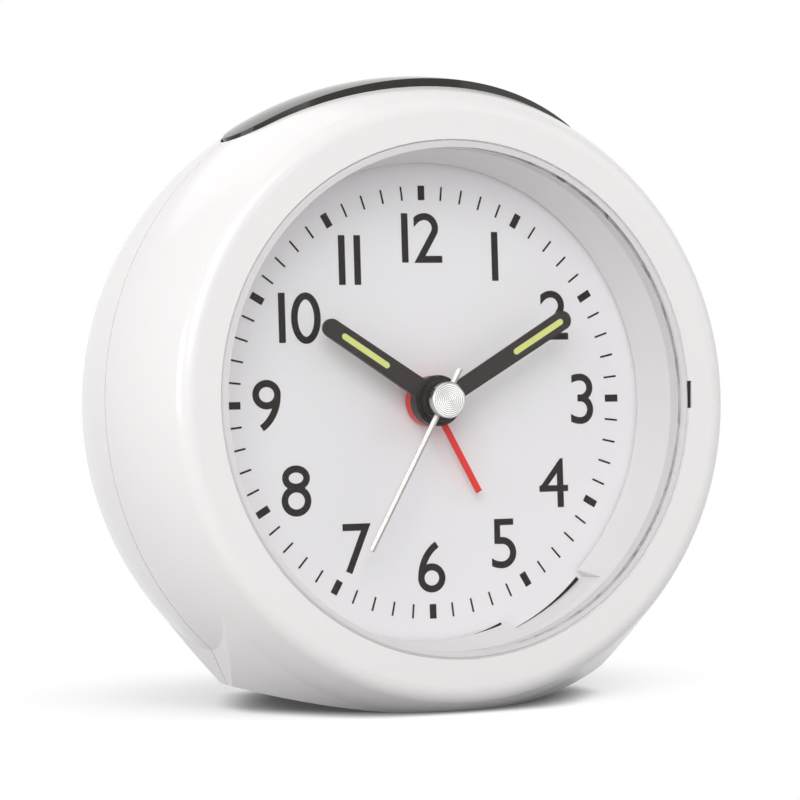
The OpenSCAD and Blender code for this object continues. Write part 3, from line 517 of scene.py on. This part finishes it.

# the second hand's cap, turned with fine rings, in mm; the rings are real geometry, and the darker colour
# along each groove is painted shade
capSet = {"radius": 2.65, "front": -7.8, "back": -6.5, "chamfer": 0.25, "eye": 0.12, "rings": 9,
          "ringDepth": 0.035, "sides": 96, "linePitch": 0.29, "grooveShadeColour": (0.48, 0.475, 0.46)}
capLook = dict(silverLook, colour=(0.92, 0.915, 0.905), rough=(0.16, 0.24), aniso=0.75)


def capProfile():
    flat = capSet["radius"] - capSet["chamfer"]
    steps = 2 * capSet["rings"]
    profile = []
    for i in range(steps + 1):
        r = capSet["eye"] + (flat - capSet["eye"]) * i / steps
        profile.append((r, capSet["front"] + (capSet["ringDepth"] if i % 2 else 0)))
    profile.append((capSet["radius"], capSet["front"] + capSet["chamfer"]))
    profile.append((capSet["radius"], capSet["back"]))
    return profile


def turnedMesh(name, profile, sides):
    bm = bmesh.new()
    front = bm.verts.new((0, profile[0][1], 0))
    back = bm.verts.new((0, profile[-1][1], 0))
    turn = [2 * math.pi * k / sides for k in range(sides)]
    loops = []
    for r, y in profile:
        loops.append([bm.verts.new((r * math.cos(t), y, r * math.sin(t))) for t in turn])
    for k in range(sides):
        n = (k + 1) % sides
        bm.faces.new((front, loops[0][k], loops[0][n]))
        bm.faces.new((back, loops[-1][n], loops[-1][k]))
        for a, b in zip(loops, loops[1:]):
            bm.faces.new((a[k], b[k], b[n], a[n]))
    bmesh.ops.recalc_face_normals(bm, faces=bm.faces)
    return dialMesh(bm, name)


waveTurns = 20  # radians that a wave texture runs through per metre at scale 1


def makeCapFinish():
    mat = makeFinish("capTurned", capLook)
    tree = mat.node_tree
    wave = tree.nodes.new("ShaderNodeTexWave")
    wave.wave_type = "RINGS"
    wave.rings_direction = "Y"
    wave.inputs["Scale"].default_value = 2 * math.pi / (waveTurns * capSet["linePitch"] * mm)
    tree.links.new(objectCoords(tree), wave.inputs["Vector"])
    # painted shade: the colour darkens along each ring's groove
    repaint(mat, wave.outputs["Fac"], capSet["grooveShadeColour"], "A")
    # the gloss runs round the axis, as turning leaves it
    spin = tree.nodes.new("ShaderNodeTangent")
    spin.direction_type = "RADIAL"
    spin.axis = "Y"
    tree.links.new(spin.outputs["Tangent"], tree.nodes["Principled BSDF"].inputs["Tangent"])
    return mat


capShape = turnedMesh("turnedCap", capProfile(), capSet["sides"])
cap = newPiece("turnedCap", capShape, "seconds", makeCapFinish())
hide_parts("second_cap")
print("second hand's cap turned")

# camera at the photograph's angle; offset from the dial's centre in units of so many mm, sensor in mm
cameraSet = {"azimuth": 25.234, "elevation": 2.468, "lens": 159.75, "sensor": 36, "clipStart": 0.01,
             "unit": 29.5, "offset": (0.12945, 0.00704, 17.5408)}


def placeCamera():
    az, el = math.radians(cameraSet["azimuth"]), math.radians(cameraSet["elevation"])
    right = Vector((math.cos(az), -math.sin(az), 0))
    ahead = Vector((math.sin(az) * math.cos(el), math.cos(az) * math.cos(el), -math.sin(el)))
    down = Vector((-math.sin(el) * math.sin(az), -math.sin(el) * math.cos(az), -math.cos(el)))
    tx, ty, tz = cameraSet["offset"]
    data = bpy.data.cameras.new("studioCamera")
    data.lens = cameraSet["lens"]
    data.sensor_width = cameraSet["sensor"]
    data.clip_start = cameraSet["clipStart"]
    camera = bpy.data.objects.new("studioCamera", data)
    camera.location = dialCentre - (right * tx + down * ty + ahead * tz) * cameraSet["unit"] * mm
    camera.rotation_euler = (math.pi / 2 - el, 0, -az)
    bpy.context.scene.collection.objects.link(camera)
    bpy.context.scene.camera = camera


placeCamera()
print("camera placed")


def seenWhite(tree):
    # 1 for what the camera sees, straight, mirrored or through the window
    # 0 for light that falls on a surface
    path = tree.nodes.new("ShaderNodeLightPath")
    seen = path.outputs["Is Camera Ray"]
    for kind in ("Is Glossy Ray", "Is Transmission Ray"):
        seen = mathNode(tree, "MAXIMUM", seen, path.outputs[kind])
    direct = mathNode(tree, "LESS_THAN", path.outputs["Diffuse Depth"], 0.5)  # no diffuse bounce yet
    return mathNode(tree, "MULTIPLY", seen, direct)


# size and reaches in metres; the floor's colour under the clock is painted shade: it darkens where ambient
# occlusion finds the floor covered, so it sends little light back
# under and behind say how much of the white is left from near to far from cover
floorSet = {"size": 3.0, "colour": (0.64, 0.64, 0.64), "rough": 0.7, "nookShade": (0.28, 0.28, 0.28),
            "nookShadeReach": 0.02, "under": {"reach": 0.0055, "near": 0.05, "far": 0.7, "own": 0.08},
            "behind": {"reach": 0.032, "near": 0.5, "far": 0.9, "own": 0.6}, "tilt": 62}


def whiteLeft(tree, cover, facing=None):
    near = tree.nodes.new("ShaderNodeAmbientOcclusion")
    near.inputs["Distance"].default_value = cover["reach"]
    if facing is not None:
        tree.links.new(facing, near.inputs["Normal"])
    fade = tree.nodes.new("ShaderNodeMapRange")
    fade.interpolation_type = "SMOOTHSTEP"
    for label, value in (("From Min", "near"), ("From Max", "far"), ("To Min", "own")):
        fade.inputs[label].default_value = cover[value]
    tree.links.new(near.outputs["AO"], fade.inputs["Value"])
    return fade.outputs["Result"]


def floorFinish():
    mat = bpy.data.materials.new("paleFloor")
    mat.use_nodes = True
    tree = mat.node_tree
    shader = tree.nodes["Principled BSDF"]
    shader.inputs["Roughness"].default_value = floorSet["rough"]
    # painted shade: ambient occlusion darkens the floor's own colour near the clock
    nookShade = tree.nodes.new("ShaderNodeAmbientOcclusion")
    nookShade.inputs["Distance"].default_value = floorSet["nookShadeReach"]
    shade = tree.nodes.new("ShaderNodeMix")
    shade.data_type = "RGBA"
    shade.inputs["A"].default_value = (*floorSet["nookShade"], 1)
    shade.inputs["B"].default_value = (*floorSet["colour"], 1)
    tree.links.new(nookShade.outputs["AO"], shade.inputs["Factor"])
    tree.links.new(shade.outputs["Result"], shader.inputs["Base Color"])
    white = tree.nodes.new("ShaderNodeEmission")
    white.inputs["Color"].default_value = (1, 1, 1, 1)
    white.inputs["Strength"].default_value = 1
    # shaded where the clock stands over it, pure white further off
    under = whiteLeft(tree, floorSet["under"])
    # the lamps stand in front, so the floor behind the clock is shaded further out
    tilt = tree.nodes.new("ShaderNodeVectorRotate")
    tilt.rotation_type = "X_AXIS"
    tilt.inputs["Angle"].default_value = math.radians(floorSet["tilt"])
    tree.links.new(tree.nodes.new("ShaderNodeNewGeometry").outputs["Normal"], tilt.inputs["Vector"])
    behind = whiteLeft(tree, floorSet["behind"], tilt.outputs["Vector"])
    share = mathNode(tree, "MULTIPLY", mathNode(tree, "MULTIPLY", seenWhite(tree), under), behind)
    surface = mixShaders(tree, share, shader.outputs["BSDF"], white.outputs["Emission"])
    tree.links.new(surface, tree.nodes["Material Output"].inputs["Surface"])
    return mat


def makeFloor():
    bm = bmesh.new()
    bmesh.ops.create_grid(bm, x_segments=1, y_segments=1, size=floorSet["size"] / 2)
    floor = bpy.data.objects.new("floor", meshFrom(bm, "floor"))
    bpy.context.scene.collection.objects.link(floor)
    floor.data.materials.append(floorFinish())


makeFloor()

worldSet = {"light": (1.0, 1.0, 1.0), "strength": 0.53}


def makeWorld():
    world = bpy.data.worlds.new("studio")
    bpy.context.scene.world = world
    world.use_nodes = True
    tree = world.node_tree
    room = tree.nodes["Background"]
    room.inputs["Color"].default_value = (*worldSet["light"], 1)
    room.inputs["Strength"].default_value = worldSet["strength"]
    white = tree.nodes.new("ShaderNodeBackground")
    white.inputs["Color"].default_value = (1, 1, 1, 1)
    white.inputs["Strength"].default_value = 1
    surface = mixShaders(tree, seenWhite(tree), room.outputs["Background"], white.outputs["Background"])
    tree.links.new(surface, tree.nodes["World Output"].inputs["Surface"])


makeWorld()

# soft square lamps, in metres and watts, all turned to the middle of the clock
lampAim = Vector((0, 0, 0.045))
lampSet = {
    "keyLamp": {"at": (-0.5, -0.9, 0.65), "size": 0.8, "power": 6.4},
    "fillLamp": {"at": (0.8, -0.55, 0.45), "size": 0.8, "power": 1.2},
    "sideLamp": {"at": (-0.95, -0.15, 0.16), "size": 0.6, "power": 2.5},
    "backLamp": {"at": (-0.2, 0.8, 0.9), "size": 0.7, "power": 1.2},
}
for name, chosen in lampSet.items():
    data = bpy.data.lights.new(name, "AREA")
    data.size = chosen["size"]
    data.energy = chosen["power"]
    lamp = bpy.data.objects.new(name, data)
    lamp.location = chosen["at"]
    lamp.rotation_euler = (lampAim - lamp.location).to_track_quat("-Z", "Y").to_euler()
    bpy.context.scene.collection.objects.link(lamp)

bpy.context.scene.view_settings.view_transform = "Standard"
print("stage and lamps set")
